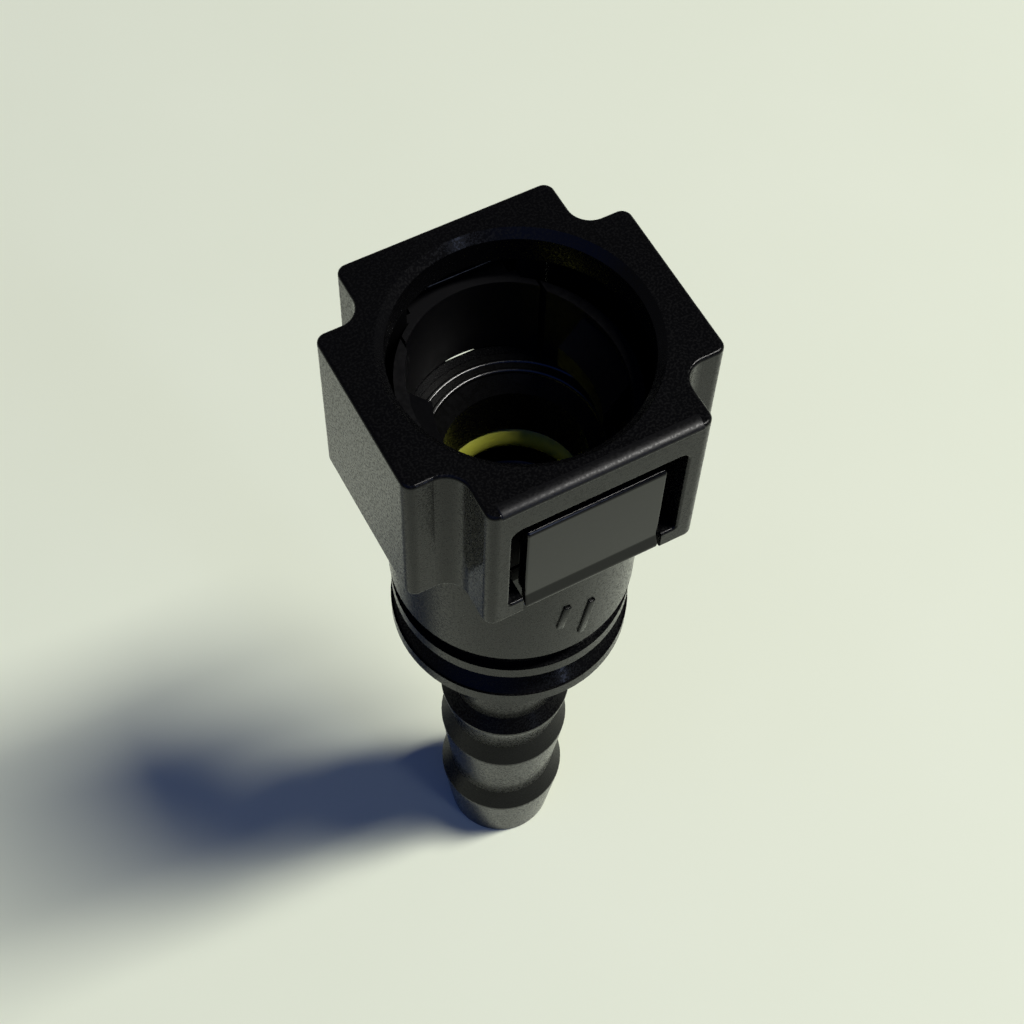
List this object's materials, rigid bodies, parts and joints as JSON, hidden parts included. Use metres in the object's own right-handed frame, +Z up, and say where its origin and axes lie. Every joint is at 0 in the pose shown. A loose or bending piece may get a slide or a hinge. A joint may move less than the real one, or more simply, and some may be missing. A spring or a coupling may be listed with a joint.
{
  "type": "fuel hose connector",
  "caption": "Straight plastic push-on fuel line connector: a cross-shaped head with squeeze buttons and a round mouth for a beaded tube, a grooved round body and a barbed hose spigot.",
  "frame": {"origin": "centre of the flat end face of the hose barb, which the part stands on", "axes": "+Z up the axis to the mouth that the tube enters; the front button faces -Y and the rear button +Y; the jaws lie to -X and +X"},
  "size_m": [0.0178, 0.0168, 0.0568],
  "materials": {
    "housing_nylon": "moulded black nylon, fine grain, satin",
    "retainer_nylon": "moulded black nylon, smooth",
    "bushing_nylon": "moulded dark nylon, smooth",
    "upper_seal_rubber": "olive green seal rubber, smooth",
    "lower_seal_rubber": "black seal rubber, smooth"
  },
  "bodies": {
    "connector_body": {"housing": "housing_nylon", "bushing": "bushing_nylon", "upper_o_ring": "upper_seal_rubber", "spacer_ring": "bushing_nylon", "lower_o_ring": "lower_seal_rubber"},
    "front_button": {"front_button": "retainer_nylon"},
    "rear_button": {"rear_button": "retainer_nylon"},
    "left_jaw": {"left_jaw": "retainer_nylon"},
    "right_jaw": {"right_jaw": "retainer_nylon"}
  },
  "joints": [
    {"name": "front_button_press", "type": "slide", "parent": "connector_body", "child": "front_button", "axis": [0, 1, 0], "range_m": [0, 0.0011], "stiffness_N_per_m": 1000},
    {"name": "rear_button_press", "type": "slide", "parent": "connector_body", "child": "rear_button", "axis": [0, -1, 0], "range_m": [0, 0.0011]},
    {"name": "left_jaw_open", "type": "slide", "parent": "connector_body", "child": "left_jaw", "axis": [-1, 0, 0], "range_m": [0, 0.0012]},
    {"name": "right_jaw_open", "type": "slide", "parent": "connector_body", "child": "right_jaw", "axis": [1, 0, 0], "range_m": [0, 0.0012]}
  ],
  "couplings": [
    {"joint": "rear_button_press", "follows": "front_button_press", "ratio": 1},
    {"joint": "left_jaw_open", "follows": "front_button_press", "ratio": 1.09},
    {"joint": "right_jaw_open", "follows": "front_button_press", "ratio": 1.09}
  ]
}
